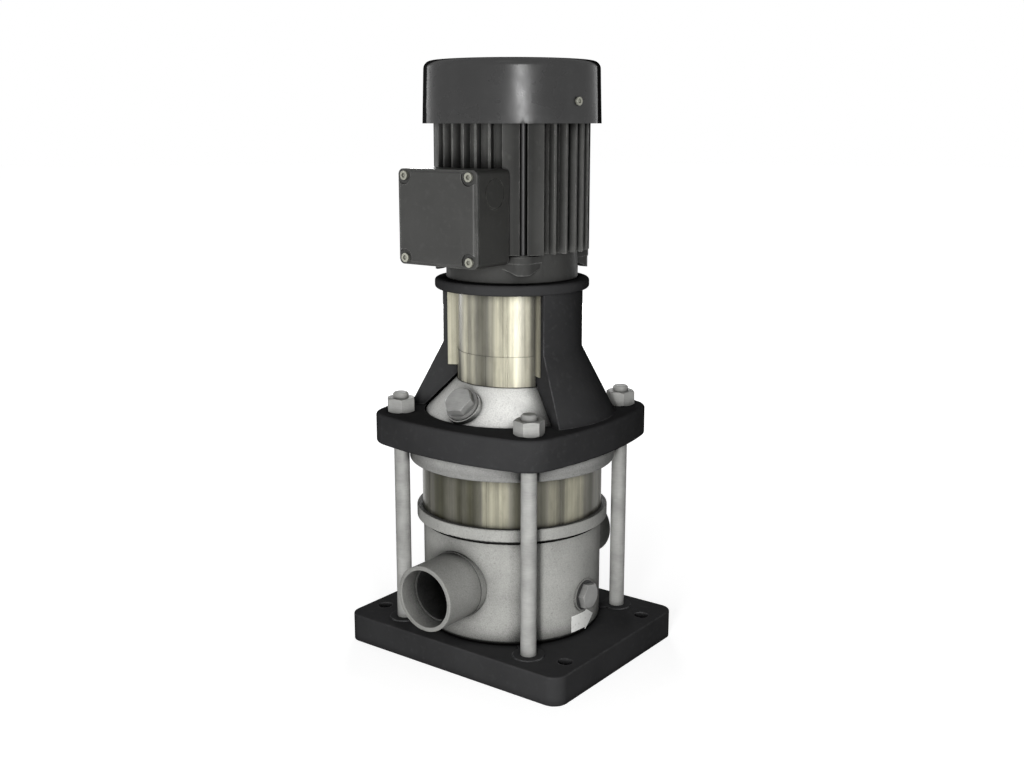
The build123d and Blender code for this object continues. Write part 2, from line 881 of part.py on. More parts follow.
def coupling_halves():
    """Two clamp halves about the shaft ends, parted at x = 0."""
    middle = (coupling_foot + coupling_top) / 2
    step = (shaft_top + motor_shaft_foot) / 2
    lower_bore = shaft_radius + press_gap
    upper_bore = motor_shaft_radius + press_gap
    body = turned([(lower_bore, coupling_foot), (coupling_waist, coupling_foot),
                   (coupling_radius, coupling_foot + coupling_chamfer),
                   (coupling_radius, coupling_top - coupling_chamfer),
                   (coupling_waist, coupling_top), (upper_bore, coupling_top), (upper_bore, step),
                   (lower_bore, step)])
    body -= ring(coupling_radius + 1, coupling_waist, middle - coupling_groove / 2,
                 middle + coupling_groove / 2)
    body -= Box(coupling_split, 4 * coupling_radius, 4 * coupling_top)
    pin_hole = Cylinder(coupling_pin_radius + press_gap, 6 * coupling_radius, rotation=(0, 90, 0))
    body -= Pos(0, 0, coupling_foot + coupling_pin_lift) * pin_hole
    for y, z in coupling_screw_places():
        turn = Pos(0, y, z) * Rot(0, 90, 0)
        body -= turn * rod(coupling_screw_radius + press_gap, -coupling_screw_length, coupling_radius)
        body -= turn * rod(coupling_head_radius + seat_gap, coupling_seat, 2 * coupling_radius)
    return group([body])


def coupling_screws():
    bolt = screw(coupling_screw_radius, coupling_screw_length, coupling_head_radius, coupling_head_height,
                 coupling_screw_socket)
    seat = Pos(coupling_seat + press_gap, 0, 0)
    return group([Pos(0, y, z) * seat * Rot(0, 90, 0) * bolt for y, z in coupling_screw_places()])


def coupling_pin():
    length = 2 * (coupling_waist - 2)
    return Pos(0, 0, coupling_foot + coupling_pin_lift) * Cylinder(coupling_pin_radius, length,
                                                                  rotation=(0, 90, 0))


# Shaft seal
seat_foot = head_top - cover_spigot - seat_stand
seal_face = seat_foot - 0.1
face_foot = seal_face - face_height
bellows_foot = face_foot - bellows_length


def seal_cover():
    spigot = head_throat - 0.1
    pocket = seat_radius + screw_gap
    pocket_top = seat_foot + seat_height
    body = turned([(cover_lip_radius, head_top + cover_plate), (cover_radius, head_top + cover_plate),
                   (cover_radius, head_top), (spigot, head_top), (spigot, head_top - cover_spigot),
                   (pocket, head_top - cover_spigot), (pocket, pocket_top),
                   (cover_lip_radius, pocket_top)], ((1, 1.0),))
    hole = rod(cover_screw_radius + screw_gap, head_top - 1, head_top + cover_plate + 1)
    return body - around(cover_screws, Pos(cover_screw_circle, 0, 0) * hole, 45)


def seal_cover_screws():
    bolt = screw(cover_screw_radius, cover_plate + cover_screw_length, cover_screw_head,
                 cover_screw_head_height, 4.0)
    return group(around(cover_screws, Pos(cover_screw_circle, 0, head_top + cover_plate) * bolt, 45))


def seal_seat():
    return ring(seat_radius, seat_bore, seat_foot, seat_foot + seat_height)


def seal_face_ring():
    return ring(face_radius, shaft_radius + press_gap, face_foot, seal_face)


def seal_bellows():
    """Folded rubber sleeve that presses the turning face against its seat."""
    bore = shaft_radius + press_gap
    fold = bellows_length / bellows_folds
    outer = [(bore, bellows_foot)]
    for index in range(bellows_folds):
        low = bellows_foot + index * fold
        outer += [(bore + bellows_sheet, low), (bellows_radius, low + fold * 0.3),
                  (bellows_radius, low + fold * 0.7)]
    outer += [(bore + bellows_sheet, face_foot), (bore, face_foot)]
    return turned(outer)


def seal_driver():
    return ring(driver_radius, shaft_radius + press_gap, bellows_foot - driver_height, bellows_foot)


# Motor
def drive_end_shield():
    """Motor flange, bearing housing and the square plate with its corner feet."""
    plate_foot = frame_foot - shield_plate
    bearing_bore = drive_bearing_radius + screw_gap
    bearing_top = drive_bearing_foot + drive_bearing_width + 1
    spigot = frame_bore - 0.1
    body = turned([(drive_seat_radius + 0.5, motor_face - spigot_height),
                   (spigot_radius, motor_face - spigot_height), (spigot_radius, motor_face),
                   (shield_radius, motor_face), (shield_radius, frame_foot), (spigot, frame_foot),
                   (spigot, frame_foot + end_spigot), (spigot - 3, frame_foot + end_spigot),
                   (spigot - 3, frame_foot - 2), (bearing_bore + shield_housing_wall, frame_foot - 2),
                   (bearing_bore + shield_housing_wall, bearing_top), (bearing_bore, bearing_top),
                   (bearing_bore, drive_bearing_foot), (drive_seat_radius + 0.5, drive_bearing_foot)],
                  ((3, 1.5),))
    outline = RectangleRounded(2 * shield_plate_half, 2 * shield_plate_half, shield_plate_corner)
    hollow = rod(spigot - 4, motor_face, frame_foot + 1)
    plate = Pos(0, 0, plate_foot) * chamfer(extrude(outline, shield_plate).edges().group_by(Axis.Z)[-1], 1.5)
    foot_half = shield_plate_half - shield_foot_step
    foot_outline = RectangleRounded(2 * foot_half, 2 * foot_half, shield_plate_corner - shield_foot_step)
    feet = Pos(0, 0, plate_foot - shield_foot) * extrude(foot_outline, shield_foot)
    arch_centre = Pos(0, 0, plate_foot - shield_arch_drop - shield_arch)
    feet -= arch_centre * Cylinder(shield_arch, 4 * shield_plate_half, rotation=(0, 90, 0))
    feet -= arch_centre * Cylinder(shield_arch, 4 * shield_plate_half, rotation=(90, 0, 0))
    body += (plate + feet) - hollow
    thread_top = motor_face + flange_bolt_grip + 1
    thread = rod(flange_bolt_radius + screw_gap, motor_face - spigot_height, thread_top)
    body -= around(4, Pos(flange_bolt_circle, 0, 0) * thread, 45)
    tie_hole = rod(tie_radius + screw_gap, frame_foot - tie_thread - 1, frame_foot + 1)
    return body - around(4, Pos(tie_circle, 0, 0) * tie_hole, 45)


def fin():
    """One cooling fin towards +X, thinner at its tip, in plan."""
    root = frame_radius - 2
    half = fin_sheet / 2
    tip = half * 0.75
    return make_face(Polyline((root, -half, 0), (fin_radius, -tip, 0), (fin_radius, tip, 0),
                              (root, half, 0), close=True))


def corner_bar():
    """One of the two wide bars beside a corner's bolt groove, in plan."""
    inner = math.radians(bar_inner_angle)
    outer = math.radians(bar_outer_angle)
    reach = fin_radius * 1.1
    root = frame_radius - 3
    wedge = make_face(Polyline((root * math.cos(inner), root * math.sin(inner), 0),
                               (reach * math.cos(inner), reach * math.sin(inner), 0),
                               (reach * math.cos(outer), reach * math.sin(outer), 0),
                               (root * math.cos(outer), root * math.sin(outer), 0), close=True))
    return wedge & Circle(fin_radius)


def motor_frame():
    """Finned tube with a flat neck for the terminal box."""
    plan = Sketch() + Circle(frame_radius)
    for quadrant in range(4):
        for step in range(-fin_pairs, fin_pairs + 1):
            plan += Rot(0, 0, 90 * quadrant + step * fin_pitch) * fin()
        bar = Rot(0, 0, 45 + 90 * quadrant) * corner_bar()
        plan += bar
        plan += Rot(0, 0, 45 + 90 * quadrant) * mirror(corner_bar(), Plane.XZ)
    plan -= Circle(frame_bore)
    body = Pos(0, 0, frame_foot) * extrude(plan, frame_length)
    neck = Box(2 * neck_half_width, box_shelf - seat_gap - frame_bore * 0.8, neck_height_z,
               align=(Align.CENTER, Align.MIN, Align.CENTER))
    neck = Pos(0, -(box_shelf - seat_gap), box_middle) * neck
    body += neck - rod(frame_bore, frame_foot, frame_top)
    return body - Pos(0, 0, box_middle) * along_y(cable_hole_radius, frame_bore / 2, box_shelf)


def slot_plan(grow):
    """Stator slot towards +X, in plan."""
    return Pos(slot_foot + slot_depth / 2, 0) * Rectangle(slot_depth + 2 * grow, slot_width + 2 * grow)


def stator_core():
    body = ring(frame_bore - press_gap, rotor_radius + air_gap, stator_foot, stator_top)
    slots = Sketch() + [Rot(0, 0, 360 * i / slot_count) * slot_plan(0) for i in range(slot_count)]
    return body - Pos(0, 0, stator_foot - 1) * extrude(slots, stator_length + 2)


def stator_windings():
    """Bars in the slots joined by the round heads at both ends."""
    low = slot_foot - 2
    high = low + slot_depth + 3
    bars = Sketch() + [Rot(0, 0, 360 * i / slot_count) * slot_plan(-0.2) for i in range(slot_count)]
    body = Pos(0, 0, stator_foot - 1) * extrude(bars, stator_length + 2)
    for foot in (stator_foot - winding_gap - winding_height, stator_top + winding_gap):
        top = foot + winding_height
        body += turned([(low, foot), (high, foot), (high, top), (low, top)],
                       ((0, 4.0), (1, 4.0), (2, 4.0), (3, 4.0)))
    return body


def motor_shaft():
    drive_top = drive_bearing_foot + drive_bearing_width + 1
    rotor_foot = stator_foot - rotor_end_ring - 2
    rotor_top = stator_top + rotor_end_ring
    tail = fan_foot + fan_height + clip_height + shaft_tail
    points = [(0, motor_shaft_foot), (motor_shaft_radius - 1, motor_shaft_foot),
              (motor_shaft_radius, motor_shaft_foot + 1), (motor_shaft_radius, motor_face - spigot_height),
              (drive_seat_radius, motor_face - spigot_height), (drive_seat_radius, drive_top),
              (rotor_seat_radius + 1, drive_top), (rotor_seat_radius + 1, rotor_foot),
              (rotor_seat_radius, rotor_foot), (rotor_seat_radius, rotor_top),
              (rear_seat_radius + 2, rotor_top), (rear_seat_radius + 2, rear_bearing_foot),
              (rear_seat_radius, rear_bearing_foot), (rear_seat_radius, end_top + 1),
              (fan_seat_radius, end_top + 1), (fan_seat_radius, tail - 1), (fan_seat_radius - 1, tail),
              (0, tail)]
    return turned(points)


def rotor_core():
    bore = rotor_seat_radius + press_gap
    inset = 1.0
    foot = stator_foot - rotor_end_ring
    return turned([(bore, foot), (rotor_radius - inset, foot),
                   (rotor_radius - inset, stator_foot), (rotor_radius, stator_foot),
                   (rotor_radius, stator_top), (rotor_radius - inset, stator_top),
                   (rotor_radius - inset, stator_top + rotor_end_ring), (bore, stator_top + rotor_end_ring)])


def bearing_plan(outer, inner):
    """Ball track radius, ball radius and race thickness of a bearing."""
    section = outer - inner
    track = (outer + inner) / 2
    return track, section * 0.27, section * race_wall


def outer_race(outer, inner, width, foot):
    track, ball, wall = bearing_plan(outer, inner)
    body = ring(outer, outer - wall, foot, foot + width)
    return body - Pos(0, 0, foot + width / 2) * Torus(track, ball + running_gap)


def inner_race(outer, inner, width, foot):
    track, ball, wall = bearing_plan(outer, inner)
    body = ring(inner + wall, inner + press_gap, foot, foot + width)
    return body - Pos(0, 0, foot + width / 2) * Torus(track, ball + running_gap)


def ball_set(outer, inner, width, foot):
    track, ball = bearing_plan(outer, inner)[:2]
    return around(ball_count, Pos(track, 0, foot + width / 2) * Sphere(ball))


drive_bearing = (drive_bearing_radius, drive_seat_radius, drive_bearing_width, drive_bearing_foot)
rear_bearing = (rear_bearing_radius, rear_seat_radius, rear_bearing_width, rear_bearing_foot)


def bearing_outer_races():
    return group([outer_race(*drive_bearing), outer_race(*rear_bearing)])


def bearing_inner_races():
    return group([inner_race(*drive_bearing), inner_race(*rear_bearing)])


def bearing_balls():
    return group(ball_set(*drive_bearing) + ball_set(*rear_bearing))


def wave_washer():
    foot = rear_bearing_foot + rear_bearing_width
    return ring(rear_bearing_radius - 0.3, rear_bearing_radius - 5, foot, foot + wave_washer_height)


def cover_lug():
    """Arm towards +X with an upright that the fan cover is screwed to."""
    tightest = cover_inner_at(frame_top + end_plate + lug_rise)
    wall_outer = math.sqrt(tightest ** 2 - (lug_width / 2) ** 2) - seat_gap
    base = Box(wall_outer - frame_bore, lug_width, end_plate, align=(Align.MIN, Align.CENTER, Align.MIN))
    upright = Box(lug_wall, lug_width, end_plate + lug_rise, align=(Align.MAX, Align.CENTER, Align.MIN))
    lug = Pos(frame_bore, 0, frame_top) * base + Pos(wall_outer, 0, frame_top) * upright
    hole = rod(cover_fixing_radius + screw_gap, wall_outer - lug_wall - 1, wall_outer + 1)
    return lug - Pos(0, 0, cover_foot + cover_screw_height) * Rot(0, 90, 0) * hole


def non_drive_end_shield():
    """Rear bearing housing with ears for the tie bolts and arms for the fan cover."""
    bore = rear_bearing_radius + screw_gap
    spigot = frame_bore - 0.1
    housing = bore + shield_housing_wall
    body = turned([(rear_seat_radius + 1.5, end_top), (frame_radius - 0.5, end_top),
                   (frame_radius - 0.5, frame_top), (spigot, frame_top), (spigot, frame_top - end_spigot),
                   (housing, frame_top - end_spigot), (housing, rear_bearing_foot - 0.5),
                   (bore, rear_bearing_foot - 0.5), (bore, end_top - 2),
                   (rear_seat_radius + 1.5, end_top - 2)])
    ear = Pos(tie_circle, 0, 0) * rod(tie_ear_radius, frame_top, end_top)
    web = Pos(tie_circle, 0, frame_top) * Box(tie_circle - frame_bore, 2 * tie_ear_radius, end_plate,
                                              align=(Align.MAX, Align.CENTER, Align.MIN))
    body += around(4, ear + web, 45)
    body += around(cover_fixings, cover_lug(), cover_fixing_angle)
    tie_hole = rod(tie_radius + screw_gap, frame_top - 1, end_top + 1)
    return body - around(4, Pos(tie_circle, 0, 0) * tie_hole, 45)


def motor_tie_bolts():
    length = end_top - frame_foot + tie_thread
    bolt = rod(tie_radius, end_top - length, end_top + 0.5)
    bolt += Pos(0, 0, end_top) * hexagon(2 * tie_head * 0.87, 0, tie_head_height)
    return group(around(4, Pos(tie_circle, 0, 0) * bolt, 45))


def motor_flange_bolts():
    bolt = screw(flange_bolt_radius, rim_flange_height - flange_bolt_head_height + flange_bolt_grip,
                 flange_bolt_head, flange_bolt_head_height, 5.0)
    seat = leg_top + flange_bolt_head_height + 0.2
    place = Pos(flange_bolt_circle, 0, seat) * Rot(180, 0, 0)
    return group(around(4, place * bolt, 45))


# Fan and its cover
def cover_outer_at(height):
    """Outside radius of the tapered fan cover at a height."""
    share = (height - cover_foot) / (cover_height - cover_round)
    return cover_foot_radius + (cover_top_radius - cover_foot_radius) * share


def cover_inner_at(height):
    return cover_outer_at(height) - cover_sheet


def grille_slots():
    """Arc slots in rings, parted by webs, through the top of the fan cover."""
    plan = Sketch()
    for index in range(grille_rings):
        inner = grille_inner + index * grille_pitch
        plan += Circle(inner + grille_slot) - Circle(inner)
    reach = grille_inner + grille_rings * grille_pitch
    web = Pos(reach / 2, 0) * Rectangle(reach, grille_web_width)
    plan -= [Rot(0, 0, 360 * i / grille_webs) * web for i in range(grille_webs)]
    return Pos(0, 0, motor_top - cover_sheet - 1) * extrude(plan, cover_sheet + 2)


def fan_cover():
    """Tapered drum with a rounded top edge and a slotted roof."""
    edge = cover_outer_at(motor_top)
    points = [(0, motor_top), (edge, motor_top), (cover_foot_radius, cover_foot),
              (cover_foot_radius - cover_sheet, cover_foot), (edge - cover_sheet, motor_top - cover_sheet),
              (0, motor_top - cover_sheet)]
    body = turned(points, ((1, cover_round), (4, cover_round - cover_sheet)))
    body -= grille_slots()
    hole = rod(cover_fixing_radius + 0.3, cover_foot_radius - 8, cover_foot_radius + 2)
    hole = Pos(0, 0, cover_foot + cover_screw_height) * Rot(0, 90, 0) * hole
    return body - around(cover_fixings, hole, cover_fixing_angle)


def fan_cover_screws():
    height = cover_foot + cover_screw_height
    seat = cover_outer_at(height - cover_fixing_head) + screw_gap
    bolt = screw(cover_fixing_radius, cover_sheet + lug_wall + 0.5, cover_fixing_head,
                 cover_fixing_head_height, cover_fixing_socket)
    bolt = Pos(seat, 0, height) * Rot(0, 90, 0) * bolt
    return group(around(cover_fixings, bolt, cover_fixing_angle))


def cooling_fan():
    """Hub, back disc and straight blades that work in either direction."""
    bore = fan_seat_radius + press_gap
    body = ring(fan_hub_radius, bore, fan_foot, fan_foot + fan_height)
    body += ring(fan_radius - 2, bore, fan_foot, fan_foot + fan_disc)
    inner = fan_hub_radius - 1
    blade = extrude(Plane.XZ * make_face(Polyline(
        (inner, fan_foot + fan_disc / 2), (fan_radius - 2, fan_foot + fan_disc / 2),
        (fan_radius, fan_foot + fan_height * 0.35), (fan_radius, fan_foot + fan_height * 0.85),
        (fan_radius - 4, fan_foot + fan_height), (inner, fan_foot + fan_height - 3), close=True)),
        fan_blade_sheet / 2, both=True)
    return body + around(fan_blades, blade)


def fan_clip():
    foot = fan_foot + fan_height
    return ring(clip_radius, fan_seat_radius + press_gap, foot, foot + clip_height)


# Terminal box
def box_outline(inset):
    """Rounded rectangle of the terminal box, seen along Y."""
    corner = max(box_corner - inset, 1.0)
    return RectangleRounded(2 * (box_half_width - inset), box_height - 2 * inset, corner)


def box_slab(inset, near, far):
    """Slab of the box outline between two distances in front of the axis."""
    slab = extrude(box_outline(inset), far - near)
    return Pos(0, -near, box_middle) * Rot(90, 0, 0) * slab


def lid_screw_places():
    """Centres of the lid screws, which run along Y."""
    x = box_half_width - lid_screw_inset_x
    z = box_height / 2 - lid_screw_inset_z
    return [(i * x, box_middle + j * z) for i in (-1, 1) for j in (-1, 1)]


def along_y(radius, near, far):
    """Cylinder pointing to the front, between two distances in front of the axis."""
    return Rot(90, 0, 0) * rod(radius, near, far)


def terminal_box():
    body = box_slab(0, box_back, box_front)
    body -= box_slab(box_wall, box_back - 1, box_shelf)
    body -= rod(fin_radius + seat_gap, box_foot - 1, box_top + 1)
    body -= box_slab(box_wall, box_shelf + box_wall, box_front + 1)
    for x, z in lid_screw_places():
        body += Pos(x, 0, z) * along_y(post_radius, box_shelf + box_wall - 1, box_front)
        hole = along_y(lid_screw_radius + screw_gap, box_front - lid_screw_length, box_front + 1)
        body -= Pos(x, 0, z) * hole
    body -= Pos(0, 0, box_middle) * along_y(cable_hole_radius, box_shelf - 1, box_shelf + box_wall + 1)
    height = box_top - knockout_drop
    mark = ring(knockout_radius, knockout_radius - knockout_width, -knockout_depth, 1)
    for side in (-1, 1):
        body -= Pos(side * box_half_width, -knockout_place, height) * Rot(0, 90 * side, 0) * mark
    return body


def terminal_gasket():
    body = box_slab(0.4, box_front, box_front + gasket_sheet)
    body -= box_slab(box_wall - 0.4, box_front - 1, box_front + gasket_sheet + 1)
    for x, z in lid_screw_places():
        body += Pos(x, 0, z) * along_y(post_radius, box_front, box_front + gasket_sheet)
    for x, z in lid_screw_places():
        body -= Pos(x, 0, z) * along_y(lid_screw_radius + 0.3, box_front - 1, box_front + gasket_sheet + 1)
    return body


def terminal_lid():
    """Lid with a raised panel that steps back round the four screws."""
    back = box_front + gasket_sheet
    front = back + lid_sheet
    panel = box_slab(lid_inset / 2, front - 1, front + lid_panel)
    panel = chamfer(panel.edges().group_by(Axis.Y)[0], lid_panel * 0.6)
    for x, z in lid_screw_places():
        panel -= Pos(x, 0, z) * along_y(lid_notch, front, front + lid_panel + 1)
    body = box_slab(0, back, front) + panel
    for x, z in lid_screw_places():
        body -= Pos(x, 0, z) * along_y(lid_screw_radius + 0.3, back - 1, front + 1)
    return body


def terminal_lid_screws():
    seat = box_front + gasket_sheet + lid_sheet
    length = lid_screw_length + gasket_sheet + lid_sheet - 1
    bolt = screw(lid_screw_radius, length, lid_screw_head, lid_screw_head_height, lid_screw_socket)
    return group([Pos(x, -seat, z) * Rot(90, 0, 0) * bolt for x, z in lid_screw_places()])


def terminal_block():
    """Insulating block with its studs on the back wall of the box."""
    shelf = box_shelf + box_wall
    foot = box_middle
    base = Pos(0, -shelf, foot) * Box(terminal_width, terminal_depth, terminal_height,
                                      align=(Align.CENTER, Align.MAX, Align.CENTER))
    stud = along_y(terminal_stud_radius, shelf + 1, shelf + terminal_depth + terminal_stud_length)
    grid = GridLocations(terminal_pitch, terminal_height / 2, terminal_columns, terminal_rows)
    for place in grid:
        base += Pos(place.position.X, 0, foot + place.position.Y) * stud
    return base


pieces = {
    "base_plate": base_plate,
    "staybolts": staybolts,
    "staybolt_nuts": staybolt_nuts,
    "base_casing": base_casing,
    "drain_plug": drain_plug,
    "drain_plug_seal": lambda: drain_place * plug_seal_ring(),
    "outer_sleeve": outer_sleeve,
    "sleeve_seals": sleeve_seals,
    "inlet_part": inlet_part,
    "neck_rings": neck_rings,
    "chamber_bushes": chamber_bushes,
    "impeller_spacers": impeller_spacers,
    "stage_clamp": stage_clamp,
    "pump_head": pump_head,
    "vent_plug": vent_plug,
    "vent_plug_seal": lambda: vent_seat * plug_seal_ring(),
    "motor_stool": motor_stool,
    "guard_front": guard_front,
    "guard_rear": guard_rear,
    "pump_shaft": pump_shaft,
    "shaft_nut": shaft_nut,
    "shaft_washer": shaft_washer,
    "coupling_halves": coupling_halves,
    "coupling_screws": coupling_screws,
    "coupling_pin": coupling_pin,
    "seal_cover": seal_cover,
    "seal_cover_screws": seal_cover_screws,
    "seal_seat": seal_seat,
    "seal_face_ring": seal_face_ring,
    "seal_bellows": seal_bellows,
    "seal_driver": seal_driver,
    "drive_end_shield": drive_end_shield,
    "motor_frame": motor_frame,
    "stator_core": stator_core,
    "stator_windings": stator_windings,
    "motor_shaft": motor_shaft,
    "rotor_core": rotor_core,
    "bearing_outer_races": bearing_outer_races,
    "bearing_inner_races": bearing_inner_races,
    "bearing_balls": bearing_balls,
    "wave_washer": wave_washer,
    "non_drive_end_shield": non_drive_end_shield,
    "motor_tie_bolts": motor_tie_bolts,
    "motor_flange_bolts": motor_flange_bolts,
    "fan_cover": fan_cover,
    "fan_cover_screws": fan_cover_screws,
    "cooling_fan": cooling_fan,
    "fan_clip": fan_clip,
    "terminal_box": terminal_box,
    "terminal_gasket": terminal_gasket,
    "terminal_lid": terminal_lid,
    "terminal_lid_screws": terminal_lid_screws,
    "terminal_block": terminal_block,
}
for stage in range(stage_count):
    pieces[f"chamber_{stage + 1}"] = lambda index=stage: chamber(index)
    pieces[f"impeller_{stage + 1}"] = lambda index=stage: impeller(index)

os.makedirs("parts", exist_ok=True)
for name, make in pieces.items():
    export_step(make(), f"parts/{name}.step")
print(len(pieces), "pieces written")
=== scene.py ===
import json
import math

import bmesh
import bpy
from mathutils import Matrix, Vector


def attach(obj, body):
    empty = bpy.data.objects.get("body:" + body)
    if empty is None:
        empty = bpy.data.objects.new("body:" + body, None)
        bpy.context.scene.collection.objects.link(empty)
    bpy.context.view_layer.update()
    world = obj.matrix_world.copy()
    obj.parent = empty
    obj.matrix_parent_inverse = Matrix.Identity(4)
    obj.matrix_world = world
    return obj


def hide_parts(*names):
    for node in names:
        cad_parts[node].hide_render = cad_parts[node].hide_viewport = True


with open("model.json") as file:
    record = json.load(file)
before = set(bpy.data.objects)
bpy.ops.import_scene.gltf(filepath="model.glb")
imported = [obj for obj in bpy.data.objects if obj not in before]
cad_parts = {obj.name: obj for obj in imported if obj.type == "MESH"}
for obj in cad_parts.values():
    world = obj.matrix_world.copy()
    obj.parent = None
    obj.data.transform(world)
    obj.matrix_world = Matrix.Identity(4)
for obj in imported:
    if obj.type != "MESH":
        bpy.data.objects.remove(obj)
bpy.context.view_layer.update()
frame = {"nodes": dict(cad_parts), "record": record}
nodes = frame["nodes"]
mm = 0.001
housing = "pump_and_motor_housing"
port_height = 80.0  # of the ports' axis over the floor, in mm
weld_distance = 0.000002


# Camera, at the photograph's place and angle
camera_place = (0.6671, -0.8876, 0.4915)
camera_pitch = math.radians(77.85)
camera_turn = math.radians(36.93)
camera_lens = 42.55
camera_sensor = 36.0


def add_camera():
    data = bpy.data.cameras.new("camera")
    data.lens = camera_lens
    data.sensor_width = camera_sensor
    data.clip_end = 50.0
    camera = bpy.data.objects.new("camera", data)
    camera.location = camera_place
    camera.rotation_euler = (camera_pitch, 0.0, camera_turn)
    bpy.context.scene.collection.objects.link(camera)
    bpy.context.scene.camera = camera


# Light, world and floor. The key light is two lamps: key_fill lights, and key_strip is only mirrored.
lamp_target = (0.0, 0.0, 0.27)
world_grey = (0.92, 0.95, 1.0)
world_strength = 0.02
white = (1.0, 1.0, 1.0)
floor_radius = 14.0
floor_drop = 0.0002
floor_grey = (0.45, 0.45, 0.45)
floor_bounce = (0.30, 0.30, 0.30)
glow_start, glow_end = 0.15, 1.3
glow_near, glow_far = 0.80, 1.0


def area_lamp(name, azimuth, elevation, distance, size, power, matt=True, gloss=True):
    """Soft lamp that stands at an azimuth and elevation around the object, in degrees and metres."""
    data = bpy.data.lights.new(name, "AREA")
    data.shape = "RECTANGLE"
    data.size, data.size_y = size
    data.energy = power
    lamp = bpy.data.objects.new(name, data)
    a, e = math.radians(azimuth), math.radians(elevation)
    back = Vector((math.sin(a) * math.cos(e), -math.cos(a) * math.cos(e), math.sin(e)))
    lamp.location = Vector(lamp_target) + back * distance
    lamp.rotation_euler = (-back).to_track_quat("-Z", "Y").to_euler()
    lamp.visible_camera = False
    lamp.visible_diffuse = matt
    lamp.visible_glossy = gloss
    bpy.context.scene.collection.objects.link(lamp)


def add_lamps():
    area_lamp("key_strip", 50.5, 2.5, 1.15, (0.18, 0.55), 7.0, matt=False)
    area_lamp("key_fill", 27.0, 2.5, 1.15, (0.18, 0.55), 11.6, gloss=False)
    area_lamp("upper_strip", 46.0, 17.7, 1.15, (0.14, 0.16), 2.2)
    area_lamp("top_lamp", 30.0, 60.0, 1.5, (0.5, 0.5), 0.4)
    area_lamp("right_lamp", 182.0, 5.0, 2.2, (0.5, 1.0), 9.0)
    area_lamp("back_lamp", 218.0, 5.0, 2.2, (0.5, 1.0), 28.0)
    area_lamp("left_lamp", 254.0, 5.0, 2.2, (0.5, 1.0), 9.0)


def seen_directly(tree):
    """Adds a light path; returns it and a socket that is 1 for camera and glossy rays."""
    path = tree.nodes.new("ShaderNodeLightPath")
    seen = tree.nodes.new("ShaderNodeMath")
    seen.operation = "MAXIMUM"
    tree.links.new(path.outputs["Is Camera Ray"], seen.inputs[0])
    tree.links.new(path.outputs["Is Glossy Ray"], seen.inputs[1])
    return path, seen.outputs[0]


def add_world():
    """White for the camera and for reflections, soft grey light on everything else."""
    world = bpy.data.worlds.new("studio")
    world.use_nodes = True
    tree = world.node_tree
    tree.nodes.clear()
    path, seen = seen_directly(tree)
    shown = tree.nodes.new("ShaderNodeMath")
    shown.operation = "MAXIMUM"
    tree.links.new(seen, shown.inputs[0])
    tree.links.new(path.outputs["Is Transmission Ray"], shown.inputs[1])
    soft = tree.nodes.new("ShaderNodeBackground")
    soft.inputs["Color"].default_value = (*world_grey, 1.0)
    soft.inputs["Strength"].default_value = world_strength
    backdrop = tree.nodes.new("ShaderNodeBackground")
    backdrop.inputs["Color"].default_value = (*white, 1.0)
    backdrop.inputs["Strength"].default_value = 1.0
    mix = tree.nodes.new("ShaderNodeMixShader")
    tree.links.new(shown.outputs[0], mix.inputs[0])
    tree.links.new(soft.outputs[0], mix.inputs[1])
    tree.links.new(backdrop.outputs[0], mix.inputs[2])
    output = tree.nodes.new("ShaderNodeOutputWorld")
    tree.links.new(mix.outputs[0], output.inputs["Surface"])
    bpy.context.scene.world = world


def add_floor():
    """Large pale floor, white to the camera but for the object's shadow."""
    bm = bmesh.new()
    bmesh.ops.create_circle(bm, cap_ends=True, radius=floor_radius, segments=96)
    mesh = bpy.data.meshes.new("floor")
    bm.to_mesh(mesh)
    bm.free()
    floor = bpy.data.objects.new("floor", mesh)
    floor.location.z = -floor_drop
    bpy.context.scene.collection.objects.link(floor)
    material = bpy.data.materials.new("floor_white")
    material.use_nodes = True
    tree = material.node_tree
    tree.nodes.clear()
    diffuse = tree.nodes.new("ShaderNodeBsdfDiffuse")
    diffuse.inputs["Color"].default_value = (*floor_grey, 1.0)
    glow = tree.nodes.new("ShaderNodeEmission")
    glow.inputs["Color"].default_value = (*white, 1.0)
    place = tree.nodes.new("ShaderNodeTexCoord")
    away = tree.nodes.new("ShaderNodeVectorMath")
    away.operation = "LENGTH"
    tree.links.new(place.outputs["Object"], away.inputs[0])
    strength = tree.nodes.new("ShaderNodeMapRange")
    for key, value in (("From Min", glow_start), ("From Max", glow_end),
                       ("To Min", glow_near), ("To Max", glow_far)):
        strength.inputs[key].default_value = value
    tree.links.new(away.outputs["Value"], strength.inputs["Value"])
    tree.links.new(strength.outputs[0], glow.inputs["Strength"])
    both = tree.nodes.new("ShaderNodeAddShader")
    tree.links.new(diffuse.outputs[0], both.inputs[0])
    tree.links.new(glow.outputs[0], both.inputs[1])
    _, seen = seen_directly(tree)
    mix = tree.nodes.new("ShaderNodeMixShader")
    bounce = tree.nodes.new("ShaderNodeBsdfDiffuse")
    bounce.inputs["Color"].default_value = (*floor_bounce, 1.0)
    tree.links.new(seen, mix.inputs[0])
    tree.links.new(bounce.outputs[0], mix.inputs[1])
    tree.links.new(both.outputs[0], mix.inputs[2])
    output = tree.nodes.new("ShaderNodeOutputMaterial")
    tree.links.new(mix.outputs[0], output.inputs["Surface"])
    mesh.materials.append(material)


# Materials. The colour mix node has a set of sockets for each kind of data.
mix_factor, mix_first, mix_second, mix_result = 0, 6, 7, 2


